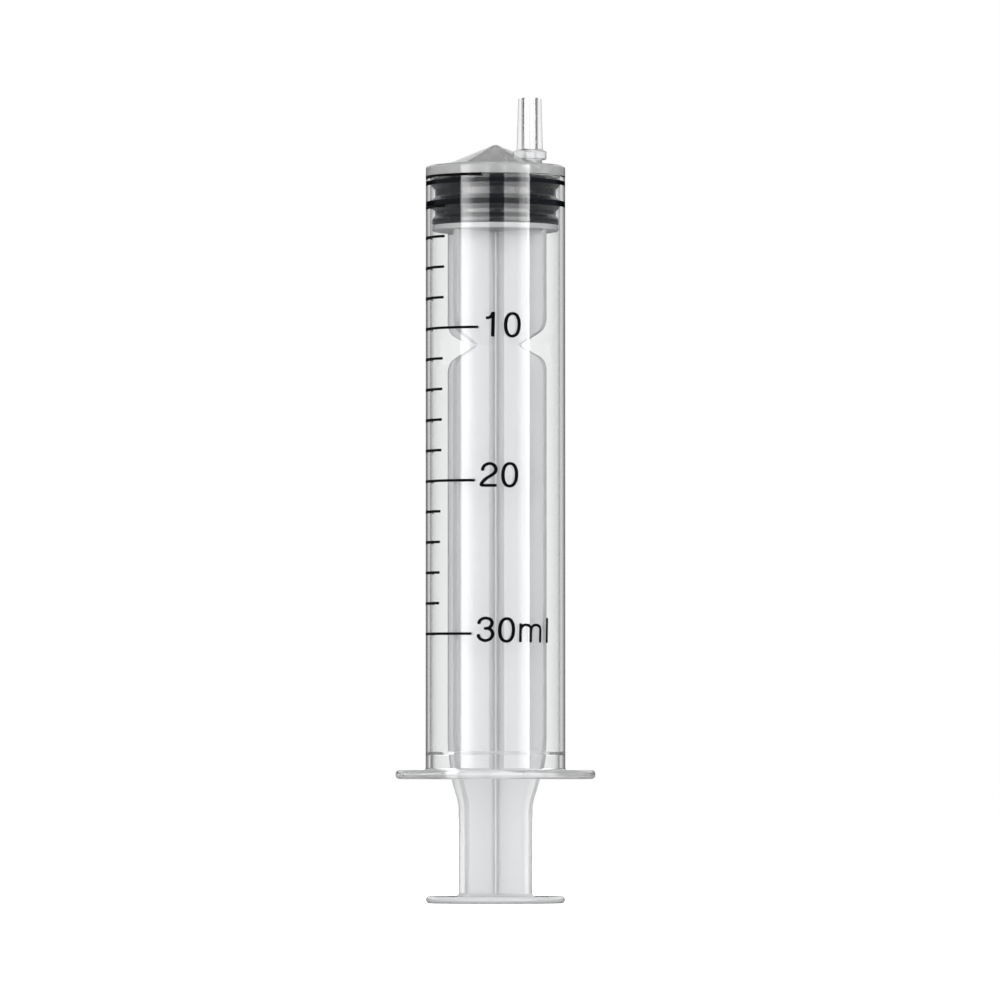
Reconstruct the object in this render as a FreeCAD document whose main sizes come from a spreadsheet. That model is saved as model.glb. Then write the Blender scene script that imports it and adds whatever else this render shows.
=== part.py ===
import FreeCAD, Part

# A 30 ml disposable syringe with an off-centre slip nozzle, standing nozzle up on its thumb disc.
# It is three mouldings: the barrel, the rubber piston and the plunger rod, drawn with the piston
# pushed home. Lengths are in millimetres. The origin is the centre of the thumb disc's lower face,
# +Z runs up the axis to the nozzle, and +X follows the finger flange's wings towards the nozzle.

import math
import os

import Sketcher

# Name, value and meaning of every driving dimension.
DIMENSIONS = [
    ("bore_diameter", 22.15, "inside of the barrel, which with the stroke gives 30 ml"),
    ("barrel_wall", 0.85, "thickness of the barrel's round wall"),
    ("bore_depth", 103.0, "from the mouth to where the bore turns into the end cone"),
    ("end_slope", 23.0, "degrees that the end cones rise from level"),
    ("shoulder_rise", 1.85, "from the end of the bore up to the flat outer shoulder"),
    ("shoulder_width", 2.925, "flat ring round the foot of the outer cone"),
    ("shoulder_round", 0.9, "outer corner of the shoulder"),
    ("cone_tip_round", 1.5, "rounded top of the outer cone"),
    ("flange_thickness", 1.5, "finger flange"),
    ("wing_overhang", 5.125, "the flange's round ends past the barrel's wall"),
    ("flat_overhang", 0.675, "the flange's straight sides past the barrel's wall"),
    ("flange_round", 0.65, "rims of the flange"),
    ("mouth_step", 0.275, "how far the retaining land stands into the bore"),
    ("mouth_length", 4.6, "from the mouth to the top of the retaining land"),
    ("mouth_ramp", 0.5, "sloped end of the retaining land"),
    ("mouth_lead", 0.4, "chamfer at the mouth"),
    ("nozzle_inset", 4.605, "from the bore's wall in to the nozzle's axis"),
    ("nozzle_length", 9.0, "tapered part above the collar"),
    ("nozzle_tip_diameter", 3.95, "small end of the taper"),
    ("nozzle_taper", 0.06, "growth of the nozzle's diameter for each millimetre down"),
    ("nozzle_bore", 1.9, "channel through the nozzle"),
    ("nozzle_tip_chamfer", 0.2, "outer edge of the tip"),
    ("collar_diameter", 5.7, "collar at the foot of the taper"),
    ("collar_height", 1.5, "collar"),
    ("collar_lift", 0.95, "from the shoulder up to the collar"),
    ("collar_neck_diameter", 4.2, "stem below the collar"),
    ("plunger_length", 115.8, "thumb disc and blades up to the piston's seat"),
    ("thumb_diameter", 23.75, "thumb disc"),
    ("thumb_thickness", 1.2, "thumb disc"),
    ("blade_thickness", 1.1, "each blade of the cross"),
    ("blade_clearance", 0.25, "from the blades to the retaining land"),
    ("blade_turn", -14.0, "degrees that the cross stands turned from the flange"),
    ("valley_round", 0.4, "corner between two blades"),
    ("handle_inset", 2.75, "how much narrower each blade is below the flare"),
    ("flare_start", 15.8, "height at which the blades begin to widen"),
    ("flare_angle", 22.0, "degrees from upright of the flare's middle"),
    ("flare_inner_round", 6.0, "hollow start of the flare"),
    ("flare_outer_round", 22.0, "full end of the flare"),
    ("notch_height", 95.2, "middle of the snap-off notch"),
    ("notch_half_width", 5.1, "what is left of each blade in the notch"),
    ("notch_angle", 64.0, "degrees from upright of the notch's flanks"),
    ("notch_shoulder_round", 2.6, "outer corners of the notch"),
    ("notch_root_round", 0.3, "bottom of the notch"),
    ("head_thickness", 0.95, "disc that carries the piston"),
    ("head_clearance", 0.225, "from the head disc to the bore"),
    ("neck_diameter", 9.0, "stem of the plug inside the piston"),
    ("neck_height", 2.4, "stem of the plug"),
    ("plug_diameter", 13.0, "widest part of the plug inside the piston"),
    ("plug_rim_height", 1.2, "straight part of the plug"),
    ("plug_tip_diameter", 8.0, "flat front of the plug"),
    ("plug_nose_height", 1.6, "sloped front of the plug"),
    ("plug_clearance", 0.1, "between the plug and the rubber all round"),
    ("seat_clearance", 0.05, "between the head disc and the rubber"),
    ("piston_clearance", 0.03, "between the sealing rings and the bore"),
    ("piston_base_inset", 0.225, "from the bore in to the rear rim of the piston"),
    ("piston_base_height", 0.95, "rear rim of the piston"),
    ("groove_depth", 0.675, "grooves of the piston, below the rings"),
    ("groove_flank", 0.65, "height of each sloped side of a groove"),
    ("rear_groove_height", 0.8, "floor of the rear groove"),
    ("rear_ring_height", 1.05, "rear sealing ring"),
    ("front_groove_height", 1.35, "floor of the front groove"),
    ("front_ring_height", 0.85, "front sealing ring"),
    ("crown_inset", 0.45, "from the front ring in to the foot of the piston's cone"),
    ("crown_rise", 0.3, "from the front ring up to the foot of the piston's cone"),
    ("crown_tip_round", 1.2, "rounded top of the piston's cone"),
    ("end_gap", 0.65, "upright gap left between the piston's cone and the barrel's"),
]

# Sizes that follow from the driving dimensions.
BORE_RADIUS = "(size.bore_diameter / 2)"
BARREL_RADIUS = f"({BORE_RADIUS} + size.barrel_wall)"
MOUTH_RADIUS = f"({BORE_RADIUS} - size.mouth_step)"
RISE = "tan(size.end_slope * 1 deg)"
SHOULDER_HEIGHT = "(size.bore_depth + size.shoulder_rise)"
CONE_FOOT = f"({BARREL_RADIUS} - size.shoulder_width)"
WING_RADIUS = f"({BARREL_RADIUS} + size.wing_overhang)"
FLAT_REACH = f"({BARREL_RADIUS} + size.flat_overhang)"
COLLAR_BOTTOM = f"({SHOULDER_HEIGHT} + size.collar_lift)"
COLLAR_TOP = f"({COLLAR_BOTTOM} + size.collar_height)"
NOZZLE_TOP = f"({COLLAR_TOP} + size.nozzle_length)"
BLADE_REACH = f"({MOUTH_RADIUS} - size.blade_clearance)"
HANDLE_REACH = f"({BLADE_REACH} - size.handle_inset)"
HEAD_RADIUS = f"({BORE_RADIUS} - size.head_clearance)"
HEAD_BOTTOM = "(size.plunger_length - size.head_thickness)"
RING_RADIUS = f"({BORE_RADIUS} - size.piston_clearance)"
GROOVE_RADIUS = f"({RING_RADIUS} - size.groove_depth)"
CROWN_RADIUS = f"({RING_RADIUS} - size.crown_inset)"

# A tolerance for finding edges by where they lie, and the number of blades in the cross.
NEAR = 0.001
BLADES = 4


def make_sheet(doc):
    """The sheet of driving dimensions, one row each: name, value, meaning."""
    sheet = doc.addObject("Spreadsheet::Sheet", "size")
    sheet.Label = "dimensions"
    for row, (name, value, meaning) in enumerate(DIMENSIONS, start=1):
        sheet.set(f"A{row}", name)
        sheet.set(f"B{row}", str(value))
        sheet.setAlias(f"B{row}", name)
        sheet.set(f"C{row}", meaning)
    doc.recompute()
    return sheet


def number(body, expression):
    """The value of an expression over the sheet of dimensions, or 0 for a place on an axis."""
    if expression is None:
        return 0.0
    return float(body.Document.size.evalExpression(expression))


def origin_plane(body, role):
    return next(item for item in body.Origin.OriginFeatures if item.Role == role)


def arc_between(start, end, radius, side):
    """The short arc from start to end whose centre lies on the given side of the way between."""
    half_way = (start + end) / 2
    along = end - start
    across = FreeCAD.Vector(-along.y, along.x, 0).normalize()
    if side == "right":
        across = -across
    offset = math.sqrt(max(radius**2 - (along.Length / 2) ** 2, 0))
    centre = half_way + across * offset
    circle = Part.Circle(centre, FreeCAD.Vector(0, 0, 1), radius)
    first = math.atan2(start.y - centre.y, start.x - centre.x)
    last = math.atan2(end.y - centre.y, end.x - centre.x)
    if side == "right":
        first, last = last, first
    return Part.ArcOfCircle(circle, first, last)


def place_point(sketch, geometry, point, direction, name, expression, value):
    """Ties one coordinate of a sketch point to the sheet, or to the axis if it has no expression."""
    if expression is None:
        axis = -2 if direction == "DistanceX" else -1
        sketch.addConstraint(Sketcher.Constraint("PointOnObject", geometry, point, axis))
        return
    index = sketch.addConstraint(
        Sketcher.Constraint(direction, -1, 1, geometry, point, value)
    )
    sketch.renameConstraint(index, name)
    sketch.setExpression(f"Constraints.{name}", expression)


def draw_outline(body, name, plane, corners):
    """A closed sketch through the corners, each a pair of expressions across and up.

    A corner that also gives a radius and a side starts an arc that is centred on that side. A
    half circle gives its centre's place across as well, which ties it where its radius can't.
    """
    sketch = body.newObject("Sketcher::SketchObject", name)
    sketch.AttachmentSupport = [(origin_plane(body, plane), "")]
    sketch.MapMode = "FlatFace"
    points = [FreeCAD.Vector(number(body, c[0]), number(body, c[1]), 0) for c in corners]
    ends = []
    for i, given in enumerate(corners):
        start, end = points[i], points[(i + 1) % len(points)]
        if len(given) == 2:
            geometry = sketch.addGeometry(Part.LineSegment(start, end), False)
            ends.append((geometry, 1, 2))
        else:
            radius, side = given[2:4]
            arc = arc_between(start, end, number(body, radius), side)
            geometry = sketch.addGeometry(arc, False)
            ends.append((geometry, 1, 2) if side == "left" else (geometry, 2, 1))
    for i, (geometry, first, _) in enumerate(ends):
        before, _, last = ends[i - 1]
        sketch.addConstraint(Sketcher.Constraint("Coincident", before, last, geometry, first))
        across, up = corners[i][:2]
        place_point(sketch, geometry, first, "DistanceX", f"across_{i}", across, points[i].x)
        place_point(sketch, geometry, first, "DistanceY", f"up_{i}", up, points[i].y)
    for i, given in enumerate(corners):
        if len(given) == 4:
            radius = number(body, given[2])
            index = sketch.addConstraint(Sketcher.Constraint("Radius", ends[i][0], radius))
            sketch.renameConstraint(index, f"radius_{i}")
            sketch.setExpression(f"Constraints.radius_{i}", given[2])
        elif len(given) == 5:
            centre = number(body, given[4])
            place_point(sketch, ends[i][0], 3, "DistanceX", f"centre_{i}", given[4], centre)
    return sketch


def turn(body, name, sketch, kind="Revolution"):
    """The sketch turned once round its own upright axis, added or cut away."""
    feature = body.newObject(f"PartDesign::{kind}", name)
    feature.Profile = sketch
    feature.ReferenceAxis = (sketch, ["V_Axis"])
    feature.Angle = 360
    body.Document.recompute()
    return feature


def soften(body, name, size, wanted, kind="Fillet"):
    """A fillet or chamfer on every edge of the body so far for which wanted is true."""
    base = body.Tip
    edges = [f"Edge{i}" for i, edge in enumerate(base.Shape.Edges, start=1) if wanted(edge)]
    if not edges:
        raise RuntimeError(f"{name} found no edge")
    feature = body.newObject(f"PartDesign::{kind}", name)
    feature.Base = (base, edges)
    feature.setExpression("Radius" if kind == "Fillet" else "Size", size)
    body.Document.recompute()


def circle_of(edge):
    """The circle that an edge follows, or None for any other edge and for a bare pole."""
    if edge.Degenerated or not isinstance(edge.Curve, Part.Circle):
        return None
    return edge.Curve


def is_ring(edge, radius, height):
    """True for a level circle with this radius at this height."""
    circle = circle_of(edge)
    if circle is None:
        return False
    return abs(circle.Radius - radius) < NEAR and abs(circle.Center.z - height) < NEAR


def on_level(edge, height):
    """True for an edge whose ends both lie at this height."""
    return all(abs(vertex.Point.z - height) < NEAR for vertex in edge.Vertexes)


def cone_profile(foot, foot_height, tip_round):
    """The side of a cone with a rounded top: its foot, where the round starts, and its top."""
    slope = "(size.end_slope * 1 deg)"
    sharp_top = f"({foot_height} + {foot} * {RISE})"
    centre = f"({sharp_top} - {tip_round} / cos{slope})"
    return [
        (foot, foot_height),
        (f"{tip_round} * sin{slope}", f"{centre} + {tip_round} * cos{slope}", tip_round, "left"),
        (None, f"{centre} + {tip_round}"),
    ]


def barrel_outside(body):
    """The solid form of the round barrel, with its flat shoulder and end cone."""
    corners = [(None, None), (BARREL_RADIUS, None), (BARREL_RADIUS, SHOULDER_HEIGHT)]
    corners += cone_profile(CONE_FOOT, SHOULDER_HEIGHT, "size.cone_tip_round")
    turn(body, "outside", draw_outline(body, "outside_outline", "XZ_Plane", corners))
    height = number(body, SHOULDER_HEIGHT)
    radius = number(body, BARREL_RADIUS)
    soften(
        body, "shoulder_corner", "size.shoulder_round", lambda edge: is_ring(edge, radius, height)
    )


def finger_flange(body):
    """Two round wings joined by straight sides, with soft rims."""
    half_side = f"sqrt({WING_RADIUS}^2 - {FLAT_REACH}^2)"
    corners = [
        (half_side, f"-{FLAT_REACH}", WING_RADIUS, "left"),
        (half_side, FLAT_REACH),
        (f"-{half_side}", FLAT_REACH, WING_RADIUS, "left"),
        (f"-{half_side}", f"-{FLAT_REACH}"),
    ]
    flange = body.newObject("PartDesign::Pad", "flange")
    flange.Profile = draw_outline(body, "flange_outline", "XY_Plane", corners)
    flange.setExpression("Length", "size.flange_thickness")
    body.Document.recompute()
    top = number(body, "size.flange_thickness")

    def on_rim(edge):
        middle = edge.valueAt((edge.FirstParameter + edge.LastParameter) / 2)
        outside = math.hypot(middle.x, middle.y) > number(body, FLAT_REACH) - NEAR
        return outside and (on_level(edge, 0) or on_level(edge, top))

    limit = "min(size.flange_round; 0.45 * size.flange_thickness)"
    soften(body, "flange_rims", limit, on_rim)


def slip_nozzle(body):
    """The neck, collar and tapered nozzle, turned about an axis beside the barrel's."""
    tip = "(size.nozzle_tip_diameter / 2)"
    foot = f"({tip} + size.nozzle_length * size.nozzle_taper / 2)"
    corners = [
        (None, "size.bore_depth"),
        ("size.collar_neck_diameter / 2", "size.bore_depth"),
        ("size.collar_neck_diameter / 2", COLLAR_BOTTOM),
        ("size.collar_diameter / 2", COLLAR_BOTTOM),
        ("size.collar_diameter / 2", COLLAR_TOP),
        (foot, COLLAR_TOP),
        (tip, NOZZLE_TOP),
        (None, NOZZLE_TOP),
    ]
    sketch = draw_outline(body, "nozzle_outline", "XZ_Plane", corners)
    sketch.setExpression("AttachmentOffset.Base.x", f"{BORE_RADIUS} - size.nozzle_inset")
    turn(body, "nozzle", sketch)
    radius = number(body, tip)
    height = number(body, NOZZLE_TOP)
    soften(
        body,
        "nozzle_tip_edge",
        "size.nozzle_tip_chamfer",
        lambda edge: is_ring(edge, radius, height),
        kind="Chamfer",
    )


def chamber(body):
    """The mouth with its retaining land, the bore and the conical end."""
    land_top = "size.mouth_length - size.mouth_ramp"
    corners = [
        (None, None),
        (f"{MOUTH_RADIUS} + size.mouth_lead", None),
        (MOUTH_RADIUS, "size.mouth_lead"),
        (MOUTH_RADIUS, land_top),
        (BORE_RADIUS, "size.mouth_length"),
        (BORE_RADIUS, "size.bore_depth"),
        (None, f"size.bore_depth + {BORE_RADIUS} * {RISE}"),
    ]
    solid = body.Shape.Volume
    sketch = draw_outline(body, "chamber_outline", "XZ_Plane", corners)
    turn(body, "chamber", sketch, kind="Groove")
    removed(body, solid)


def nozzle_channel(body):
    """The round channel from the nozzle's tip down into the chamber."""
    sketch = body.newObject("Sketcher::SketchObject", "channel_outline")
    sketch.AttachmentSupport = [(origin_plane(body, "XY_Plane"), "")]
    sketch.MapMode = "FlatFace"
    sketch.setExpression("AttachmentOffset.Base.x", f"{BORE_RADIUS} - size.nozzle_inset")
    sketch.setExpression("AttachmentOffset.Base.z", NOZZLE_TOP)
    radius = number(body, "size.nozzle_bore / 2")
    centre = FreeCAD.Vector(0, 0, 0)
    circle = sketch.addGeometry(Part.Circle(centre, FreeCAD.Vector(0, 0, 1), radius), False)
    sketch.addConstraint(Sketcher.Constraint("Coincident", circle, 3, -1, 1))
    index = sketch.addConstraint(Sketcher.Constraint("Radius", circle, radius))
    sketch.renameConstraint(index, "channel_radius")
    sketch.setExpression("Constraints.channel_radius", "size.nozzle_bore / 2")
    solid = body.Shape.Volume
    channel = body.newObject("PartDesign::Pocket", "channel")
    channel.Profile = sketch
    channel.setExpression("Length", f"{NOZZLE_TOP} - size.bore_depth")
    body.Document.recompute()
    removed(body, solid)


def removed(body, volume_before):
    """Stops the build if the last cut took nothing away."""
    if not body.Shape.Volume < volume_before - NEAR:
        raise RuntimeError(f"{body.Tip.Name} cut nothing")


def make_barrel(doc):
    """The clear barrel, from the mouth at its own zero up to the nozzle's tip."""
    body = doc.addObject("PartDesign::Body", "barrel")
    barrel_outside(body)
    slip_nozzle(body)
    finger_flange(body)
    chamber(body)
    nozzle_channel(body)
    rise = f"size.plunger_length + size.seat_clearance + {piston_crown_height()}"
    cone_gap = f"({BORE_RADIUS} - {CROWN_RADIUS}) * {RISE}"
    height = f"{rise} + size.end_gap - {cone_gap} - size.bore_depth"
    body.setExpression("Placement.Base.z", height)
    return body


def flare(corners):
    """Adds the S-shaped widening from the handle to the full width of a blade."""
    lean = "(size.flare_angle * 1 deg)"
    hollow = "size.flare_inner_round"
    full = "size.flare_outer_round"
    hollow_end = f"({HANDLE_REACH} + {hollow} * (1 - cos{lean}))"
    full_start = f"({BLADE_REACH} - {full} * (1 - cos{lean}))"
    straight_start = f"(size.flare_start + {hollow} * sin{lean})"
    straight_end = f"({straight_start} + ({full_start} - {hollow_end}) / tan{lean})"
    corners += [
        (HANDLE_REACH, "size.flare_start", hollow, "right"),
        (hollow_end, straight_start),
        (full_start, straight_end, full, "left"),
        (BLADE_REACH, f"{straight_end} + {full} * sin{lean}"),
    ]


def notch(corners):
    """Adds the snap-off notch, a V with a small round root and wide round shoulders."""
    lean = "(size.notch_angle * 1 deg)"
    shoulder = "size.notch_shoulder_round"
    root = "size.notch_root_round"
    root_end = f"(size.notch_half_width + {root} * (1 - cos{lean}))"
    root_rise = f"({root} * sin{lean})"
    shoulder_start = f"({BLADE_REACH} - {shoulder} * (1 - cos{lean}))"
    flank_rise = f"({root_rise} + ({shoulder_start} - {root_end}) / tan{lean})"
    full_rise = f"({flank_rise} + {shoulder} * sin{lean})"
    corners += [
        (BLADE_REACH, f"size.notch_height - {full_rise}", shoulder, "left"),
        (shoulder_start, f"size.notch_height - {flank_rise}"),
        (root_end, f"size.notch_height - {root_rise}", root, "right"),
        (root_end, f"size.notch_height + {root_rise}"),
        (shoulder_start, f"size.notch_height + {flank_rise}", shoulder, "left"),
        (BLADE_REACH, f"size.notch_height + {full_rise}"),
    ]


def blades(body):
    """One blade from the axis out, repeated round the axis as a cross with soft valleys."""
    in_thumb_disc = "size.thumb_thickness / 2"
    in_head_disc = "size.plunger_length - size.head_thickness / 2"
    corners = [(None, in_thumb_disc), (HANDLE_REACH, in_thumb_disc)]
    flare(corners)
    notch(corners)
    corners += [(BLADE_REACH, in_head_disc), (None, in_head_disc)]
    blade = body.newObject("PartDesign::Pad", "blade")
    blade.Profile = draw_outline(body, "blade_outline", "XZ_Plane", corners)
    blade.SideType = "Symmetric"
    blade.setExpression("Length", "size.blade_thickness")
    body.Document.recompute()
    cross = body.newObject("PartDesign::PolarPattern", "cross")
    cross.TransformMode = "Whole shape"
    cross.Axis = (origin_plane(body, "Z_Axis"), [""])
    cross.Angle = 360
    cross.Occurrences = BLADES
    body.Tip = cross
    body.Document.recompute()
    half = number(body, "size.blade_thickness / 2")

    def in_valley(edge):
        return all(
            abs(abs(v.Point.x) - half) < NEAR and abs(abs(v.Point.y) - half) < NEAR
            for v in edge.Vertexes
        )

    soften(body, "valleys", "size.valley_round", in_valley)


def thumb_disc(body):
    """The disc that the thumb presses, with a fully rounded rim, which the syringe stands on."""
    rim = "size.thumb_thickness / 2"
    inner = f"(size.thumb_diameter / 2 - {rim})"
    top = "size.thumb_thickness"
    corners = [(None, None), (inner, None, rim, "left", inner), (inner, top), (None, top)]
    turn(body, "thumb_disc", draw_outline(body, "thumb_outline", "XZ_Plane", corners))


def plug_outline(clearance):
    """The plug that holds the piston, from its neck's foot to its flat front, grown by a clearance."""
    grown = f"+ {clearance}" if clearance else ""
    neck = f"(size.neck_diameter / 2 {grown})"
    widest = f"(size.plug_diameter / 2 {grown})"
    front = f"(size.plug_tip_diameter / 2 {grown})"
    lowered = f"- {clearance}" if clearance else ""
    raised = f"+ {clearance}" if clearance else ""
    rim_bottom = f"(size.neck_height {lowered})"
    rim_top = "(size.neck_height + size.plug_rim_height)"
    top = f"({rim_top} + size.plug_nose_height {raised})"
    return [
        (neck, rim_bottom),
        (widest, rim_bottom),
        (widest, rim_top),
        (front, top),
        (None, top),
    ]


def plunger_head(body):
    """The disc at the end of the blades and the plug that snaps into the piston."""
    seat = "size.plunger_length"
    corners = [(None, HEAD_BOTTOM), (HEAD_RADIUS, HEAD_BOTTOM), (HEAD_RADIUS, seat)]
    corners.append(("size.neck_diameter / 2", seat))
    corners += [(across, f"{seat} + {up}") for across, up in plug_outline(None)]
    turn(body, "head", draw_outline(body, "head_outline", "XZ_Plane", corners))


def make_plunger_rod(doc):
    """The plunger rod: thumb disc, cross of blades, head disc and plug in one moulding."""
    body = doc.addObject("PartDesign::Body", "plunger_rod")
    blades(body)
    thumb_disc(body)
    plunger_head(body)
    body.Placement = FreeCAD.Placement(
        FreeCAD.Vector(0, 0, 0), FreeCAD.Rotation(FreeCAD.Vector(0, 0, 1), 0)
    )
    body.setExpression("Placement.Rotation.Angle", "size.blade_turn * 1 deg")
    return body


def piston_bands():
    """Radius and height of the piston's bands, from the rear rim to the front ring."""
    return [
        (f"({BORE_RADIUS} - size.piston_base_inset)", "size.piston_base_height"),
        (GROOVE_RADIUS, "size.rear_groove_height"),
        (RING_RADIUS, "size.rear_ring_height"),
        (GROOVE_RADIUS, "size.front_groove_height"),
        (RING_RADIUS, "size.front_ring_height"),
    ]


def piston_crown_height():
    """Height of the foot of the piston's cone above its seat."""
    bands = piston_bands()
    heights = [height for _, height in bands] + ["size.groove_flank"] * (len(bands) - 1)
    return "(" + " + ".join(heights + ["size.crown_rise"]) + ")"


def piston_side():
    """Corners up the piston's side: each band, then the slope to the next."""
    corners = []
    height = "0"
    for radius, band in piston_bands():
        corners.append((radius, height if corners else None))
        height = f"{height} + {band}"
        corners.append((radius, height))
        height = f"{height} + size.groove_flank"
    return corners


def make_piston(doc):
    """The rubber piston: rear rim, two sealing rings, conical crown and the plug's pocket."""
    body = doc.addObject("PartDesign::Body", "piston")
    corners = piston_side()
    corners += cone_profile(CROWN_RADIUS, piston_crown_height(), "size.crown_tip_round")
    pocket = plug_outline("size.plug_clearance")
    pocket = [(across, f"{up} - size.seat_clearance") for across, up in pocket]
    corners += reversed(pocket)
    corners.append(("size.neck_diameter / 2 + size.plug_clearance", None))
    turn(body, "rubber", draw_outline(body, "rubber_outline", "XZ_Plane", corners))
    body.setExpression("Placement.Base.z", "size.plunger_length + size.seat_clearance")
    return body


def check_document(doc, bodies):
    """Stops the build if any object failed or a sub-part is not one valid solid."""
    for item in doc.Objects:
        if {"Invalid", "Error"} & set(item.State):
            raise RuntimeError(f"{item.Name} failed: {item.State}")
    for body in bodies:
        shape = body.Shape
        if shape.isNull() or not shape.isValid() or len(shape.Solids) != 1:
            raise RuntimeError(f"{body.Name} is not one valid solid")


def main():
    doc = FreeCAD.newDocument("syringe")
    make_sheet(doc)
    bodies = [make_plunger_rod(doc), make_piston(doc), make_barrel(doc)]
    doc.recompute()
    check_document(doc, bodies)
    os.makedirs("parts", exist_ok=True)
    for body in bodies:
        body.Shape.exportStep(f"parts/{body.Label}.step")
        box = body.Shape.BoundBox
        print(f"{body.Label}: {body.Shape.Volume:.1f} mm3, z {box.ZMin:.3f} to {box.ZMax:.3f}")


main()
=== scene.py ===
"""A 30 ml disposable syringe: a clear barrel, a black rubber piston and a milky plunger rod.

Shapes are written in millimetres and become metres when a mesh is made. Heights count from the
surface that the thumb disc stands on.
"""

import math

import bmesh
import bpy
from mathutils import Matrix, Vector


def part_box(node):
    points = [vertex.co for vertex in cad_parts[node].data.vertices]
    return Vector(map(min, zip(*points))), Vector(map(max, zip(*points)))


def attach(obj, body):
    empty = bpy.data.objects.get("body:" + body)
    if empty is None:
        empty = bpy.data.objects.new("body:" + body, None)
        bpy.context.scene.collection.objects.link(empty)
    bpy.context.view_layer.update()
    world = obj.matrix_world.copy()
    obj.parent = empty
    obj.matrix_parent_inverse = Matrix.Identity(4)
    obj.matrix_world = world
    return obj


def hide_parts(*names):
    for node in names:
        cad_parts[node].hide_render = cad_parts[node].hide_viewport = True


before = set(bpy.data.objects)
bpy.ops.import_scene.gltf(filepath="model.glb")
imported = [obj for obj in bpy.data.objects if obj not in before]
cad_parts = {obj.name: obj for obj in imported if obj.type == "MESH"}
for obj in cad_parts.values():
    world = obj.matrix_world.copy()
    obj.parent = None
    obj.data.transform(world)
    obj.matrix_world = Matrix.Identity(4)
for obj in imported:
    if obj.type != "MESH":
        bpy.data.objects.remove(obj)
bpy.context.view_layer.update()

MM = 0.001
NOTHING = 1e-6

# How finely round things are divided, and the angle from which an edge stays crisp.
BODY_SEGMENTS = 240
NOZZLE_SEGMENTS = 96
ARC_STEP = math.radians(9)
CONE_STEPS = 6
ROOT_STEPS = 6
CORNER_STEPS = 4
SHARP_ANGLE = math.radians(21)

# Barrel.
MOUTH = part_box("barrel")[0].z / MM
BARREL_RADIUS = 11.925
BORE_RADIUS = 11.075
BORE_END = MOUTH + 103.0
SHOULDER = MOUTH + 104.85
SHOULDER_ROUND = 0.5
CONE_FOOT = 9.0
END_SLOPE = math.tan(math.radians(23))
CONE_TIP_ROUND = 1.5
FLANGE_THICKNESS = 1.5
FLANGE_ROUND = 0.65
FLANGE_ROOT = 0.35
WING_RADIUS = 17.05
FLAT_REACH = 12.6
LAND_RADIUS = 10.8
LAND_TOP = MOUTH + 4.1
LAND_END = MOUTH + 4.6
MOUTH_LEAD = 0.4
MOUTH_OVERCUT = 1.0
MOUTH_CORNER = 0.15
LAND_CORNER = 0.3
BORE_CORNER = 0.35

# Slip nozzle, which stands beside the axis.
NOZZLE_ACROSS = 6.47
NECK_RADIUS = 2.1
COLLAR_RADIUS = 2.85
COLLAR_CORNER = 0.2
COLLAR_BOTTOM = MOUTH + 105.8
COLLAR_TOP = MOUTH + 107.3
TAPER_FOOT_RADIUS = 2.245
TAPER_FOOT_CORNER = 0.25
TAPER_TIP_RADIUS = 1.975
TAPER_TIP_CORNER = 0.22
NOZZLE_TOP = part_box("barrel")[1].z / MM
CHANNEL_RADIUS = 0.95
CHANNEL_LEAD = 0.12

# Rubber piston: radius and height of each band from the rear rim up, and the height of the
# slopes between them. The pocket's corners are radius and height above the rear rim.
PISTON_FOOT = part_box("piston")[0].z / MM
PISTON_BANDS = [(10.85, 0.95), (10.37, 0.8), (11.09, 1.05), (10.37, 1.35), (11.09, 0.85)]
BAND_SLOPE = 0.65
BAND_ROUND = 0.28
CROWN_RADIUS = 10.595
CROWN_RISE = 0.3
CROWN_TIP_ROUND = 1.2
POCKET = [(6.6, 2.25), (6.6, 3.55), (4.1, 5.25)]
POCKET_MOUTH = 4.6
POCKET_CORNER = 0.15

# Plunger rod. The plug's corners are radius and height, with the round of each corner.
THUMB_RADIUS = 11.875
THUMB_THICKNESS = 1.2
HALF_BLADE = 0.55
BLADE_EDGE = 0.25
VALLEY = 0.4
HANDLE_REACH = 7.8
BLADE_REACH = 10.55
FLARE_FOOT = 15.8
FLARE_ANGLE = math.radians(22)
FLARE_HOLLOW = 6.0
FLARE_FULL = 22.0
NOTCH_HEIGHT = 95.2
NOTCH_REACH = 5.1
NOTCH_ANGLE = math.radians(64)
NOTCH_SHOULDER = 2.6
NOTCH_ROOT = 0.3
CROSS_TURN = math.radians(-14)
THUMB_ROOT = 0.5
HEAD_ROOT = 0.2
HEAD_RADIUS = 10.85
HEAD_CORNER = 0.2
HEAD_BOTTOM = 114.85
SEAT = 115.8
SEAT_CORNER = 0.15
PLUG = [(4.5, 118.2), (6.5, 118.2), (6.5, 119.4), (4.0, 121.0)]
PLUG_ROUNDS = [0.15, 0.2, 0.3, 0.3]

# Printed scale. Places along a row are arc lengths from the row's start, to the right. Going
# down, the rows start further to the left by the skew, and each row falls a little to the right.
INK_PROUD = 0.02
INK_SUNK = 0.02
ZERO_LINE = 124.07
LINE_COUNT = 16
LINE_PITCH = 5.206
LINE_THICKNESS = 0.44
ROW_START = math.radians(-72)
ROW_SKEW = 0.0232
ROW_FALL = 0.009
SHORT_LINE = 10.75
LONG_LINE = 17.85
LONG_EVERY = 5
LINE_STEPS = 60

# Strokes of the printed characters: width of upright and of level stretches, distance between
# places on a stroke, and the narrower width at its first and second place from either end.
NUMBER_STROKE = (0.61, 0.5)
UNIT_STROKE = (0.49, 0.46)
STROKE_STEP = 0.12
STROKE_ENDS = (0.72, 0.94)
OVAL_STEPS = 64
OVAL_POWER = 0.9
# Corners of a stroke's section: half widths to the side, and the height off the wall.
STROKE_SECTION = [
    (-1, INK_PROUD), (0, INK_PROUD), (1, INK_PROUD),
    (1, -INK_SUNK), (0, -INK_SUNK), (-1, -INK_SUNK),
]


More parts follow.
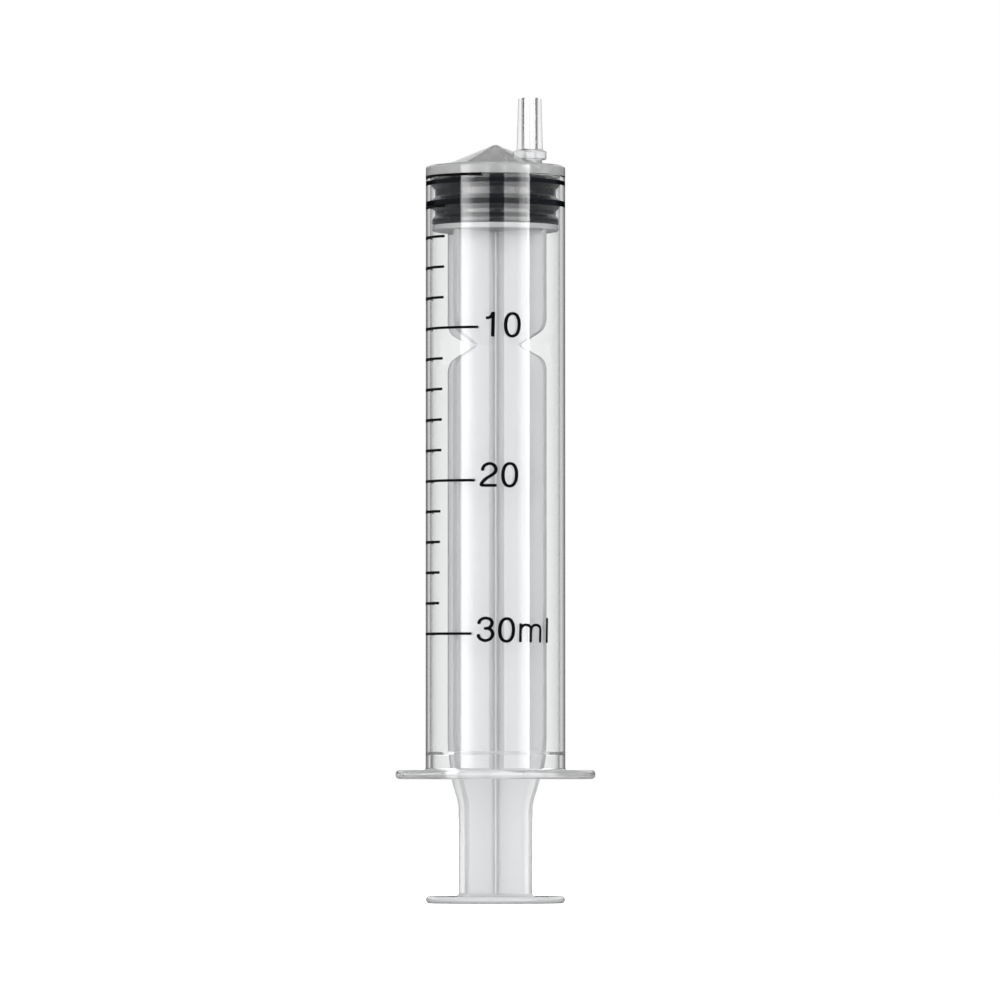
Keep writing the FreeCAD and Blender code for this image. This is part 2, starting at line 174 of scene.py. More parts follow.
def rounded(corners):
    """The outline through corners (across, up, radius), with an arc for each radius."""
    outline = []
    for i, (across, up, radius) in enumerate(corners):
        here = Vector((across, up))
        if radius == 0:
            outline.append(here)
            continue
        back = (Vector(corners[i - 1][:2]) - here).normalized()
        on = (Vector(corners[i + 1][:2]) - here).normalized()
        half = back.angle(on) / 2
        centre = here + (back + on).normalized() * (radius / math.sin(half))
        start = here + back * (radius / math.tan(half)) - centre
        sweep = math.pi - 2 * half
        if back.x * on.y - back.y * on.x > 0:
            sweep = -sweep
        steps = max(2, math.ceil(abs(sweep) / ARC_STEP))
        for step in range(steps + 1):
            angle = sweep * step / steps
            cosine, sine = math.cos(angle), math.sin(angle)
            x = start.x * cosine - start.y * sine
            y = start.x * sine + start.y * cosine
            outline.append(centre + Vector((x, y)))
    kept = [outline[0]]
    for point in outline[1:]:
        if (point - kept[-1]).length > NOTHING:
            kept.append(point)
    return kept


def object_from(name, mesh):
    """A new object in the scene, at the origin, around a finished bmesh."""
    bmesh.ops.remove_doubles(mesh, verts=mesh.verts, dist=NOTHING)
    bmesh.ops.recalc_face_normals(mesh, faces=mesh.faces)
    data = bpy.data.meshes.new(name)
    mesh.to_mesh(data)
    mesh.free()
    piece = bpy.data.objects.new(name, data)
    bpy.context.collection.objects.link(piece)
    return piece


def join_rings(mesh, lower, upper):
    """Faces between two rings of points, either of which may be a single point on the axis."""
    count = max(len(lower), len(upper))
    for i in range(count):
        j = (i + 1) % count
        corners = [lower[i % len(lower)], lower[j % len(lower)]]
        corners += [upper[j % len(upper)], upper[i % len(upper)]]
        without_repeats = dict.fromkeys(corners)
        mesh.faces.new(without_repeats)


def turned(name, outline, across_axis=0.0, segments=BODY_SEGMENTS, reach=None):
    """A closed solid turned from an outline.

    Its axis may stand to the right, and it may reach less far than a full round at some angles.
    """
    mesh = bmesh.new()
    rings = []
    for across, up in outline:
        if across < NOTHING:
            rings.append([mesh.verts.new((across_axis * MM, 0, up * MM))])
            continue
        ring = []
        for i in range(segments):
            angle = math.tau * i / segments
            radius = reach(across, angle) if reach else across
            x = across_axis + radius * math.cos(angle)
            y = radius * math.sin(angle)
            ring.append(mesh.verts.new((x * MM, y * MM, up * MM)))
        rings.append(ring)
    for lower, upper in zip(rings, rings[1:]):
        join_rings(mesh, lower, upper)
    return object_from(name, mesh)


def finished_mesh(piece):
    """A new mesh of a piece as its modifiers leave it."""
    graph = bpy.context.evaluated_depsgraph_get()
    return bpy.data.meshes.new_from_object(piece.evaluated_get(graph))


def combined(name, solid, steps):
    """The solid with others added or cut away in turn, as one plain mesh."""
    for operation, other in steps:
        modifier = solid.modifiers.new(operation, "BOOLEAN")
        modifier.operation = operation
        modifier.solver = "EXACT"
        modifier.object = other
    result = finished_mesh(solid)
    for spent in [solid] + [step[1] for step in steps]:
        bpy.data.objects.remove(spent)
    mesh = bmesh.new()
    mesh.from_mesh(result)
    bmesh.ops.dissolve_degenerate(mesh, edges=mesh.edges, dist=NOTHING)
    return object_from(name, mesh)


def smooth(piece):
    """Gives a piece smooth shading that keeps real edges crisp and large faces true."""
    piece.data.shade_smooth()
    piece.data.set_sharp_from_angle(angle=SHARP_ANGLE)
    modifier = piece.modifiers.new("large_faces_lead", "WEIGHTED_NORMAL")
    modifier.keep_sharp = True
    result = finished_mesh(piece)
    piece.modifiers.clear()
    piece.data = result
    return piece


def cone_outline(foot, foot_height, tip_round):
    """Corners up a cone's side to its rounded top on the axis."""
    slope = math.atan(END_SLOPE)
    top = foot_height + foot * END_SLOPE
    centre = top - tip_round / math.cos(slope)
    arc = []
    for step in range(CONE_STEPS, -1, -1):
        angle = slope * step / CONE_STEPS
        arc.append((tip_round * math.sin(angle), centre + tip_round * math.cos(angle), 0))
    return arc


def flange_reach(across, angle):
    """Past the barrel's wall the flange is a round plate with two straight sides."""
    if across < BARREL_RADIUS + FLANGE_ROOT + NOTHING:
        return across
    side = FLAT_REACH - (WING_RADIUS - across)
    return min(across, side / max(abs(math.sin(angle)), NOTHING))


def barrel_outside():
    """Finger flange, round wall and end cone, without the space inside."""
    flange_top = MOUTH + FLANGE_THICKNESS
    outline = [
        (0, MOUTH, 0),
        (WING_RADIUS, MOUTH, FLANGE_ROUND),
        (WING_RADIUS, flange_top, FLANGE_ROUND),
        (BARREL_RADIUS, flange_top, FLANGE_ROOT),
        (BARREL_RADIUS, BORE_END, 0),
        (BARREL_RADIUS, SHOULDER, SHOULDER_ROUND),
        (CONE_FOOT, SHOULDER, 0),
    ]
    outline += cone_outline(CONE_FOOT, SHOULDER, CONE_TIP_ROUND)
    return turned("barrel_outside", rounded(outline), reach=flange_reach)


def nozzle_outside():
    """Neck, collar and slip taper, from the bore's end up."""
    outline = [
        (0, BORE_END, 0),
        (NECK_RADIUS, BORE_END, 0),
        (NECK_RADIUS, COLLAR_BOTTOM, COLLAR_CORNER),
        (COLLAR_RADIUS, COLLAR_BOTTOM, COLLAR_CORNER),
        (COLLAR_RADIUS, COLLAR_TOP, COLLAR_CORNER),
        (TAPER_FOOT_RADIUS, COLLAR_TOP, TAPER_FOOT_CORNER),
        (TAPER_TIP_RADIUS, NOZZLE_TOP, TAPER_TIP_CORNER),
        (0, NOZZLE_TOP, 0),
    ]
    return turned("nozzle_outside", rounded(outline), NOZZLE_ACROSS, NOZZLE_SEGMENTS)


def bore():
    """The space inside the barrel: the mouth's lead, the land, the bore and the hollow cone."""
    below = MOUTH - MOUTH_OVERCUT
    outline = [
        (0, below, 0),
        (LAND_RADIUS + MOUTH_LEAD + MOUTH_OVERCUT, below, 0),
        (LAND_RADIUS, MOUTH + MOUTH_LEAD, MOUTH_CORNER),
        (LAND_RADIUS, LAND_TOP, LAND_CORNER),
        (BORE_RADIUS, LAND_END, LAND_CORNER),
        (BORE_RADIUS, BORE_END, BORE_CORNER),
        (0, BORE_END + BORE_RADIUS * END_SLOPE, 0),
    ]
    return turned("bore", rounded(outline))


def channel():
    """The way through the nozzle, which widens at the tip."""
    outline = [
        (0, BORE_END, 0),
        (CHANNEL_RADIUS, BORE_END, 0),
        (CHANNEL_RADIUS, NOZZLE_TOP - CHANNEL_LEAD, 0),
        (CHANNEL_RADIUS + 2 * CHANNEL_LEAD, NOZZLE_TOP + CHANNEL_LEAD, 0),
        (0, NOZZLE_TOP + CHANNEL_LEAD, 0),
    ]
    return turned("channel", rounded(outline), NOZZLE_ACROSS, NOZZLE_SEGMENTS)


def make_barrel():
    """Flange, wall, end cone and slip nozzle in one moulding, hollowed by bore and channel."""
    steps = [("UNION", nozzle_outside()), ("DIFFERENCE", bore()), ("DIFFERENCE", channel())]
    return smooth(combined("barrel_moulding", barrel_outside(), steps))


def make_piston():
    """Rear rim, two sealing rings and a conical crown, with the pocket that holds the plug."""
    corners = [(POCKET_MOUTH, PISTON_FOOT, POCKET_CORNER)]
    height = PISTON_FOOT
    for radius, band in PISTON_BANDS:
        corners.append((radius, height, BAND_ROUND))
        height += band
        corners.append((radius, height, BAND_ROUND))
        height += BAND_SLOPE
    crown_foot = height - BAND_SLOPE + CROWN_RISE
    corners.append((CROWN_RADIUS, crown_foot, 0))
    corners += cone_outline(CROWN_RADIUS, crown_foot, CROWN_TIP_ROUND)
    pocket = [(0, PISTON_FOOT + POCKET[-1][1], 0)]
    for across, rise in reversed(POCKET):
        pocket.append((across, PISTON_FOOT + rise, POCKET_CORNER))
    pocket.append((POCKET_MOUTH, PISTON_FOOT + POCKET[0][1], POCKET_CORNER))
    return smooth(turned("piston_rubber", rounded(pocket + corners)))


def blade_outline():
    """The outer edge of a blade from the thumb disc up: handle, flare, notch and full width."""
    notch_rise = (BLADE_REACH - NOTCH_REACH) / math.tan(NOTCH_ANGLE)
    flare_rise = (BLADE_REACH - HANDLE_REACH) / math.tan(FLARE_ANGLE)
    half_turn = math.tan(FLARE_ANGLE / 2)
    flare_start = FLARE_FOOT + FLARE_HOLLOW * half_turn
    return rounded(
        [
            (HANDLE_REACH, THUMB_THICKNESS / 2, 0),
            (HANDLE_REACH, flare_start, FLARE_HOLLOW),
            (BLADE_REACH, flare_start + flare_rise, FLARE_FULL),
            (BLADE_REACH, NOTCH_HEIGHT - notch_rise, NOTCH_SHOULDER),
            (NOTCH_REACH, NOTCH_HEIGHT, NOTCH_ROOT),
            (BLADE_REACH, NOTCH_HEIGHT + notch_rise, NOTCH_SHOULDER),
            (BLADE_REACH, (HEAD_BOTTOM + SEAT) / 2, 0),
        ]
    )


def root_growth(distance, root):
    """How much a blade thickens at this distance from the disc that it grows out of."""
    if distance >= root:
        return 0.0
    depth = root - max(distance, 0.0)
    return root - math.sqrt(root**2 - depth**2)


def corner_arc(x, y, radius, start, sweep):
    """Places round a corner of the cross's section, from an angle through a sweep."""
    places = []
    for step in range(CORNER_STEPS + 1):
        angle = start + sweep * step / CORNER_STEPS
        places.append((x + radius * math.cos(angle), y + radius * math.sin(angle)))
    return places


def quarter_of_cross(reach, half):
    """The cross's outline from the middle of one blade's edge to the next blade's."""
    quarter_turn = math.pi / 2
    tip, side, valley = reach - BLADE_EDGE, half - BLADE_EDGE, half + VALLEY
    quarter = [(reach, 0.0)]
    quarter += corner_arc(tip, side, BLADE_EDGE, 0.0, quarter_turn)
    quarter += corner_arc(valley, valley, VALLEY, math.pi * 1.5, -quarter_turn)
    quarter += corner_arc(side, tip, BLADE_EDGE, 0.0, quarter_turn)
    return quarter


def blade_levels():
    """Reach, half thickness and height of the cross at each level, with rounded roots."""
    places = [(point.x, point.y) for point in blade_outline()]
    for step in range(ROOT_STEPS + 1):
        share = 1 - math.cos(math.pi / 2 * step / ROOT_STEPS)
        places.append((HANDLE_REACH, THUMB_THICKNESS + THUMB_ROOT * share))
        places.append((BLADE_REACH, HEAD_BOTTOM - HEAD_ROOT * share))
    places.sort(key=lambda place: place[1])
    levels = []
    for reach, height in places:
        growth = root_growth(height - THUMB_THICKNESS, THUMB_ROOT)
        growth += root_growth(HEAD_BOTTOM - height, HEAD_ROOT)
        levels.append((reach + growth, HALF_BLADE + growth, height))
    return levels


def make_blades():
    """The cross of four blades between the two discs, as one closed solid."""
    mesh = bmesh.new()
    rings = []
    for reach, half, height in blade_levels():
        ring = []
        for blade in range(4):
            angle = CROSS_TURN + math.pi / 2 * blade
            cosine, sine = math.cos(angle), math.sin(angle)
            for x, y in quarter_of_cross(reach, half):
                place = (x * cosine - y * sine, x * sine + y * cosine, height)
                ring.append(mesh.verts.new([value * MM for value in place]))
        rings.append(ring)
    for lower, upper in zip(rings, rings[1:]):
        join_rings(mesh, lower, upper)
    mesh.faces.new(rings[0])
    mesh.faces.new(rings[-1])
    return object_from("blades", mesh)


def make_plunger_rod():
    """Thumb disc, cross of blades, head disc and plug in one moulding."""
    thumb = [
        (0, 0, 0),
        (THUMB_RADIUS, 0, THUMB_THICKNESS / 2),
        (THUMB_RADIUS, THUMB_THICKNESS, THUMB_THICKNESS / 2),
        (0, THUMB_THICKNESS, 0),
    ]
    head = [
        (0, HEAD_BOTTOM, 0),
        (HEAD_RADIUS, HEAD_BOTTOM, HEAD_CORNER),
        (HEAD_RADIUS, SEAT, HEAD_CORNER),
        (PLUG[0][0], SEAT, SEAT_CORNER),
    ]
    for (across, height), corner in zip(PLUG, PLUG_ROUNDS):
        head.append((across, height, corner))
    head.append((0, PLUG[-1][1], 0))
    thumb = turned("thumb_disc", rounded(thumb))
    head = turned("head", rounded(head))
    steps = [("UNION", thumb), ("UNION", head)]
    return smooth(combined("plunger_moulding", make_blades(), steps))


def on_barrel(along, height, proud):
    """The place in metres of a point of the printed scale, wrapped round the barrel."""
    slip = ROW_SKEW * (ZERO_LINE - height)
    angle = ROW_START + (along - slip) / BARREL_RADIUS
    radius = BARREL_RADIUS + proud
    fallen = height - ROW_FALL * along
    return Vector((radius * math.sin(angle), -radius * math.cos(angle), fallen)) * MM


def curve_through(points):
    """Closely spaced places on a smooth line through the points."""
    line = [Vector(point) for point in points]
    line = [2 * line[0] - line[1]] + line + [2 * line[-1] - line[-2]]
    places = []
    for before, start, end, after in zip(line, line[1:], line[2:], line[3:]):
        slope = end - before
        bend = 2 * before - 5 * start + 4 * end - after
        twist = 3 * start - before - 3 * end + after
        count = max(1, round((end - start).length / STROKE_STEP))
        for i in range(count):
            t = i / count
            places.append(0.5 * (2 * start + slope * t + bend * t**2 + twist * t**3))
    places.append(line[-2])
    return places


def oval(centre, half_width, half_height):
    """A closed upright oval, a little squarer than an ellipse, as in a printed nought."""
    places = []
    for i in range(OVAL_STEPS):
        angle = math.tau * i / OVAL_STEPS
        cosine, sine = math.cos(angle), math.sin(angle)
        across = math.copysign(abs(cosine) ** OVAL_POWER, cosine)
        up = math.copysign(abs(sine) ** OVAL_POWER, sine)
        places.append(centre + Vector((half_width * across, half_height * up)))
    return places


def direction_at(places, i, closed):
    """Which way a stroke runs at one of its places."""
    last = len(places) - 1
    if closed:
        return (places[(i + 1) % len(places)] - places[i - 1]).normalized()
    return (places[min(i + 1, last)] - places[max(i - 1, 0)]).normalized()


def ink_stroke(mesh, places, widths, closed):
    """A thin closed band of ink along a line, wrapped on the barrel."""
    rows = []
    for i, place in enumerate(places):
        along = direction_at(places, i, closed)
        from_end = min(i, len(places) - 1 - i)
        share = 1.0 if closed or from_end >= len(STROKE_ENDS) else STROKE_ENDS[from_end]
        width = math.hypot(widths[0] * along.y, widths[1] * along.x) * share
        side = Vector((-along.y, along.x)) * width / 2
        row = []
        for offset, proud in STROKE_SECTION:
            row.append(mesh.verts.new(on_barrel(*(place + side * offset), proud)))
        rows.append(row)
    pairs = list(zip(rows, rows[1:]))
    if closed:
        pairs.append((rows[-1], rows[0]))
    else:
        mesh.faces.new(rows[0])
        mesh.faces.new(rows[-1])
    for first, second in pairs:
        join_rings(mesh, first, second)


# Lines of the printed characters, from each character's left edge and foot.
ONE = [
    [(0.13, 3.2), (0.45, 3.2), (0.78, 3.27), (1.1, 3.55), (1.3, 3.95), (1.36, 4.18)],
    [(1.38, 0.0), (1.38, 2.0), (1.38, 4.22)],
]
TWO = [
    [
        (0.47, 2.68), (0.52, 3.06), (0.83, 3.58), (1.62, 3.93), (2.44, 3.65), (2.77, 3.02),
        (2.62, 2.43), (2.02, 1.93), (1.33, 1.51), (0.74, 1.02), (0.4, 0.56), (0.27, 0.1),
    ],
    [(0.2, 0.22), (1.5, 0.22), (2.97, 0.22)],
]
THREE = [
    [
        (0.36, 3.0), (0.46, 3.45), (0.85, 3.87), (1.54, 4.03), (2.23, 3.87), (2.6, 3.45),
        (2.62, 3.0), (2.4, 2.6), (1.95, 2.34), (1.25, 2.26),
    ],
    [
        (1.5, 2.26), (2.03, 2.26), (2.5, 2.0), (2.77, 1.51), (2.72, 0.97), (2.28, 0.44),
        (1.49, 0.22), (0.81, 0.44), (0.41, 0.83), (0.29, 1.31),
    ],
]
EM = [
    [(0.25, 0.0), (0.25, 1.6), (0.25, 3.2)],
    [(0.27, 2.1), (0.5, 2.62), (1.0, 2.96), (1.55, 2.94), (2.0, 2.7), (2.19, 2.2), (2.2, 1.2)],
    [(2.2, 1.6), (2.2, 0.8), (2.2, 0.0)],
    [
        (2.2, 2.1), (2.45, 2.66), (2.95, 2.96), (3.5, 2.94), (3.98, 2.68), (4.14, 2.2),
        (4.14, 1.2),
    ],
    [(4.14, 1.6), (4.14, 0.8), (4.14, 0.0)],
]
EL = [[(0.24, 0.0), (0.24, 2.1), (0.24, 4.22)]]
NOUGHT_HALF = (1.18, 1.92)
NOUGHT_MIDDLE = 2.05

# Each printed number: its line, its foot below the line, its left edge, its first figure and
# its nought's middle.
NUMBERS = [
    (5, 1.64, 18.38, ONE, 4.72),
    (10, 1.09, 17.45, TWO, 5.17),
    (15, 1.39, 16.93, THREE, 5.15),
]
UNIT = [(EM, 7.35), (EL, 12.8)]


def make_numbers():
    """The numbers 10, 20 and 30 and the unit beside the scale's long lines."""
    mesh = bmesh.new()
    for line, drop, left, figure, nought in NUMBERS:
        fall = LINE_PITCH * line
        foot = Vector((left + ROW_SKEW * fall, ZERO_LINE - fall - drop))
        for stroke in figure:
            places = [foot + place for place in curve_through(stroke)]
            ink_stroke(mesh, places, NUMBER_STROKE, closed=False)
        middle = foot + Vector((nought, NOUGHT_MIDDLE))
        ink_stroke(mesh, oval(middle, *NOUGHT_HALF), NUMBER_STROKE, closed=True)
    for letter, left in UNIT:
        for stroke in letter:
            places = [foot + Vector((left, 0)) + place for place in curve_through(stroke)]
            ink_stroke(mesh, places, UNIT_STROKE, closed=False)
    return smooth(object_from("scale_numbers", mesh))


def node(tree, kind, inputs=None, **settings):
    """A new node with its own settings, and inputs by name or number."""
    new = tree.nodes.new(kind)
    inputs = inputs or {}
    for name, value in settings.items():
        setattr(new, name, value)
    for name, value in inputs.items():
        if isinstance(value, bpy.types.NodeSocket):
            tree.links.new(value, new.inputs[name])
        else:
            new.inputs[name].default_value = value
    return new


def maths(tree, operation, *values):
    """A math node's result. Each value is a number or another node's output."""
    kind = "ShaderNodeMath"
    return node(tree, kind, dict(enumerate(values)), operation=operation).outputs[0]


# What the scale's lines are made from: name, kind of input and value.
LINE_INPUTS = [
    ("Lines", "NodeSocketInt", LINE_COUNT),
    ("Long Every", "NodeSocketInt", LONG_EVERY),
    ("Pitch", "NodeSocketFloat", LINE_PITCH * MM),
    ("Short Line", "NodeSocketFloat", SHORT_LINE * MM),
    ("Long Line", "NodeSocketFloat", LONG_LINE * MM),
    ("Thickness", "NodeSocketFloat", LINE_THICKNESS * MM),
    ("Ink Depth", "NodeSocketFloat", (INK_PROUD + INK_SUNK) * MM),
    ("Ink Middle", "NodeSocketFloat", (BARREL_RADIUS + (INK_PROUD - INK_SUNK) / 2) * MM),
    ("Barrel Radius", "NodeSocketFloat", BARREL_RADIUS * MM),
    ("Zero Line", "NodeSocketFloat", ZERO_LINE * MM),
    ("Row Start", "NodeSocketFloat", ROW_START),
    ("Skew", "NodeSocketFloat", ROW_SKEW),
    ("Fall", "NodeSocketFloat", -ROW_FALL),
]


def column_of_bars(tree, given):
    """Flat bars below each other, short or long, that start at the middle and run right."""
    down = maths(tree, "MULTIPLY", given["Pitch"], -1.0)
    start = node(tree, "ShaderNodeCombineXYZ", {"Z": given["Zero Line"]}).outputs[0]
    offset = node(tree, "ShaderNodeCombineXYZ", {"Z": down}).outputs[0]
    column = {"Count": given["Lines"], "Start Location": start, "Offset": offset}
    points = node(tree, "GeometryNodeMeshLine", column).outputs["Mesh"]
    cube = {"Size": (1, 1, 1), "Vertices X": LINE_STEPS, "Vertices Y": 2, "Vertices Z": 2}
    bar = node(tree, "GeometryNodeMeshCube", cube).outputs["Mesh"]
    from_left = {"Geometry": bar, "Translation": (0.5, 0, 0)}
    bar = node(tree, "GeometryNodeTransform", from_left).outputs["Geometry"]
    index = node(tree, "GeometryNodeInputIndex").outputs[0]
    step = maths(tree, "MODULO", index, given["Long Every"])
    is_short = maths(tree, "GREATER_THAN", step, 0.5)
    extra = maths(tree, "SUBTRACT", given["Short Line"], given["Long Line"])
    length = maths(tree, "MULTIPLY_ADD", is_short, extra, given["Long Line"])
    sides = {"X": length, "Y": given["Ink Depth"], "Z": given["Thickness"]}
    size = node(tree, "ShaderNodeCombineXYZ", sides).outputs[0]
    instances = {"Points": points, "Instance": bar, "Scale": size}
    bars = node(tree, "GeometryNodeInstanceOnPoints", instances).outputs[0]
    return node(tree, "GeometryNodeRealizeInstances", {"Geometry": bars}).outputs[0]


def wrapped_place(tree, given):
    """Where a place on the flat bars goes when they are wrapped round the barrel."""
    place = node(tree, "GeometryNodeInputPosition").outputs[0]
    along, proud, height = node(tree, "ShaderNodeSeparateXYZ", {"Vector": place}).outputs
    fall = maths(tree, "SUBTRACT", given["Zero Line"], height)
    slip = maths(tree, "MULTIPLY", fall, given["Skew"])
    arc = maths(tree, "SUBTRACT", along, slip)
    turn = maths(tree, "DIVIDE", arc, given["Barrel Radius"])
    angle = maths(tree, "ADD", turn, given["Row Start"])
    radius = maths(tree, "ADD", proud, given["Ink Middle"])
    x = maths(tree, "MULTIPLY", radius, maths(tree, "SINE", angle))
    back = maths(tree, "MULTIPLY", radius, maths(tree, "COSINE", angle))
    y = maths(tree, "MULTIPLY", back, -1.0)
    z = maths(tree, "MULTIPLY_ADD", along, given["Fall"], height)
    return node(tree, "ShaderNodeCombineXYZ", {"X": x, "Y": y, "Z": z}).outputs[0]


def line_tree():
    """Geometry nodes for the scale's lines: a column of bars, wrapped round the barrel."""
    tree = bpy.data.node_groups.new("scale_lines", "GeometryNodeTree")
    for name, kind, _ in LINE_INPUTS:
        tree.interface.new_socket(name, in_out="INPUT", socket_type=kind)
    tree.interface.new_socket("Lines", in_out="OUTPUT", socket_type="NodeSocketGeometry")
    given = node(tree, "NodeGroupInput").outputs
    moved = {"Geometry": column_of_bars(tree, given), "Position": wrapped_place(tree, given)}
    lines = node(tree, "GeometryNodeSetPosition", moved).outputs[0]
    node(tree, "NodeGroupOutput", {"Lines": lines})
    return tree


def make_lines():
    """The sixteen lines of the scale as one plain mesh."""
    tree = line_tree()
    holder = bpy.data.objects.new("line_holder", bpy.data.meshes.new("line_holder"))
    bpy.context.collection.objects.link(holder)
    modifier = holder.modifiers.new("lines", "NODES")
    modifier.node_group = tree
    sockets = {item.name: item.identifier for item in tree.interface.items_tree
               if item.in_out == "INPUT"}
    for name, _, value in LINE_INPUTS:
        modifier[sockets[name]] = value
    mesh = bmesh.new()
    mesh.from_mesh(finished_mesh(holder))
    bpy.data.objects.remove(holder)
    return smooth(object_from("scale_lines", mesh))


# Grain of the moulded skin: its detail, its roughness and the range that its noise covers.
GRAIN_DETAIL = 3.0
GRAIN_ROUGHNESS = 0.55
GRAIN_RANGE = (0.3, 0.7)


def make_skin_group():
    """Shader group for a moulded skin: slow changes of polish and a faint unevenness."""
    tree = bpy.data.node_groups.new("moulded_skin", "ShaderNodeTree")
    for name, value in [("Scale", 60.0), ("Smoothest", 0.02), ("Roughest", 0.06)]:
        socket = tree.interface.new_socket(name, in_out="INPUT", socket_type="NodeSocketFloat")
        socket.default_value = value
    for name in ("Roughness", "Height"):
        tree.interface.new_socket(name, in_out="OUTPUT", socket_type="NodeSocketFloat")
    given = node(tree, "NodeGroupInput").outputs
    place = node(tree, "ShaderNodeTexCoord").outputs["Object"]
    grain = {
        "Vector": place,
        "Scale": given["Scale"],
        "Detail": GRAIN_DETAIL,
        "Roughness": GRAIN_ROUGHNESS,
    }
    cloud = node(tree, "ShaderNodeTexNoise", grain).outputs[0]
    spread = {
        "Value": cloud,
        "From Min": GRAIN_RANGE[0],
        "From Max": GRAIN_RANGE[1],
        "To Min": given["Smoothest"],
        "To Max": given["Roughest"],
    }
    polish = node(tree, "ShaderNodeMapRange", spread).outputs[0]
    node(tree, "NodeGroupOutput", {"Roughness": polish, "Height": cloud})
    return tree


def new_material(name, **values):
    """A material around one Principled shader, with values for its own sockets."""
    material = bpy.data.materials.new(name)
    material.use_nodes = True
    shader = material.node_tree.nodes["Principled BSDF"]
    for socket, value in values.items():
        shader.inputs[socket.replace("_", " ")].default_value = value
    return material, material.node_tree, shader


def moulded(name, group, scale, polish, unevenness, **values):
    """A material with a moulded skin: its grain, its range of roughness and its unevenness."""
    material, tree, shader = new_material(name, **values)
    look = {"Scale": scale, "Smoothest": polish[0], "Roughest": polish[1]}
    skin = node(tree, "ShaderNodeGroup", look, node_tree=group).outputs
    relief = {"Strength": 1.0, "Distance": unevenness * MM, "Height": skin["Height"]}
    bump = node(tree, "ShaderNodeBump", relief).outputs
    tree.links.new(skin["Roughness"], shader.inputs["Roughness"])
    tree.links.new(bump["Normal"], shader.inputs["Normal"])
    return material


# The barrel's faces are told apart by their middles, with this much slack beside an edge. Faces
# above the middle of the end wall are outer faces.
MARGIN = 0.1
THIN_MARGIN = 0.02
HALF_END_WALL = 0.5


def give(piece, material, where=None):
    """Adds a material, to all faces or to those whose middle in millimetres passes a test."""
    slot = len(piece.data.materials)
    piece.data.materials.append(material)
    for face in piece.data.polygons:
        if where and where(face.center / MM):
            face.material_index = slot


def is_matt(place):
    """Whether a place on the barrel is matt: flange, land's step, shoulder, cone or collar."""
    across = math.hypot(place.x, place.y)
    from_nozzle = math.hypot(place.x - NOZZLE_ACROSS, place.y)
    if place.z < MOUTH + FLANGE_THICKNESS + MARGIN:
        return across > BORE_RADIUS + 2 * MARGIN
    if across < BORE_RADIUS + MARGIN and LAND_TOP - MARGIN < place.z < LAND_END + MARGIN:
        return across > LAND_RADIUS + THIN_MARGIN
    inner_end = BORE_END + (BORE_RADIUS - across) * END_SLOPE
    outer_side = place.z > max(inner_end + HALF_END_WALL, BORE_END)
    beside_nozzle = from_nozzle > COLLAR_RADIUS + MARGIN
    on_collar = from_nozzle > CHANNEL_RADIUS + MARGIN and place.z < COLLAR_TOP + MARGIN / 2
    return outer_side and (beside_nozzle or on_collar)


def is_pressed(place):
    """Whether a place on the piston is on a ring that is pressed on the barrel's wall."""
    return math.hypot(place.x, place.y) > BORE_RADIUS


def clear_plastic(group):
    """Clear polypropylene of the barrel, glossy and faintly grey."""
    return moulded(
        "clear_barrel_plastic", group, scale=90.0, polish=(0.0, 0.02), unevenness=0.002,
        Base_Color=(0.985, 0.988, 0.99, 1), IOR=1.49, Transmission_Weight=1.0,
    )


def matt_plastic(group):
    """The barrel's plastic where the mould is matt, so that it scatters some of the light."""
    return moulded(
        "matt_barrel_plastic", group, scale=300.0, polish=(0.05, 0.1), unevenness=0.004,
        Base_Color=(0.82, 0.826, 0.832, 1), IOR=1.49, Transmission_Weight=0.66,
    )


def milky_plastic(group):
    """Natural polypropylene of the plunger rod, cooler and softer than the barrel."""
    return moulded(
        "milky_plunger_plastic", group, scale=70.0, polish=(0.08, 0.15), unevenness=0.006,
        Base_Color=(0.945, 0.953, 0.962, 1), IOR=1.49, Transmission_Weight=0.53,
    )


def black_rubber(group, name, gloss):
    """Satin black rubber of the piston."""
    return moulded(
        name, group, scale=900.0, polish=(0.16, 0.28), unevenness=0.01,
        Base_Color=(0.0055, 0.0075, 0.0105, 1), Specular_IOR_Level=gloss,
    )


def scale_ink(group):
    """Black printing ink of the scale."""
    return moulded(
        "scale_ink", group, scale=1500.0, polish=(0.4, 0.6), unevenness=0.003,
        Base_Color=(0.002, 0.002, 0.002, 1), Specular_IOR_Level=0.06,
    )


# Camera: where it stands round the object, how far and how high in metres, and its lens in
# millimetres, as in the photograph.
CAMERA_TURN = math.radians(25)
CAMERA_DISTANCE = 1.444
CAMERA_HEIGHT = 0.0177
CAMERA_TILT = math.radians(2.03)
CAMERA_SIDESTEP = 0.00077
CAMERA_LENS = 304.2
NEAREST_SEEN = 0.05


def around(turn, distance, height):
    """A place at an angle to the right of the camera, round the object's axis."""
    angle = CAMERA_TURN + turn
    return Vector((distance * math.sin(angle), -distance * math.cos(angle), height))


def make_camera():
    """The camera at the photograph's distance, a little below the object's middle, looking up."""
    camera = bpy.data.objects.new("camera", bpy.data.cameras.new("camera"))
    bpy.context.collection.objects.link(camera)
    right = Vector((math.cos(CAMERA_TURN), math.sin(CAMERA_TURN), 0))
    camera.location = around(0, CAMERA_DISTANCE, CAMERA_HEIGHT) + right * CAMERA_SIDESTEP
    camera.rotation_euler = (math.pi / 2 + CAMERA_TILT, 0, CAMERA_TURN)
    camera.data.lens = CAMERA_LENS
    camera.data.clip_start = NEAREST_SEEN
    bpy.context.scene.camera = camera


# Soft lamps in front: name, degrees from the camera, distance, height, width, tall, brightness.
SOFTBOXES = [
    ("lamp_left", -34, 0.9, 0.25, 0.84, 0.44, 2.5),
    ("lamp_right", 37, 0.9, 0.25, 0.72, 0.44, 2.9),
]
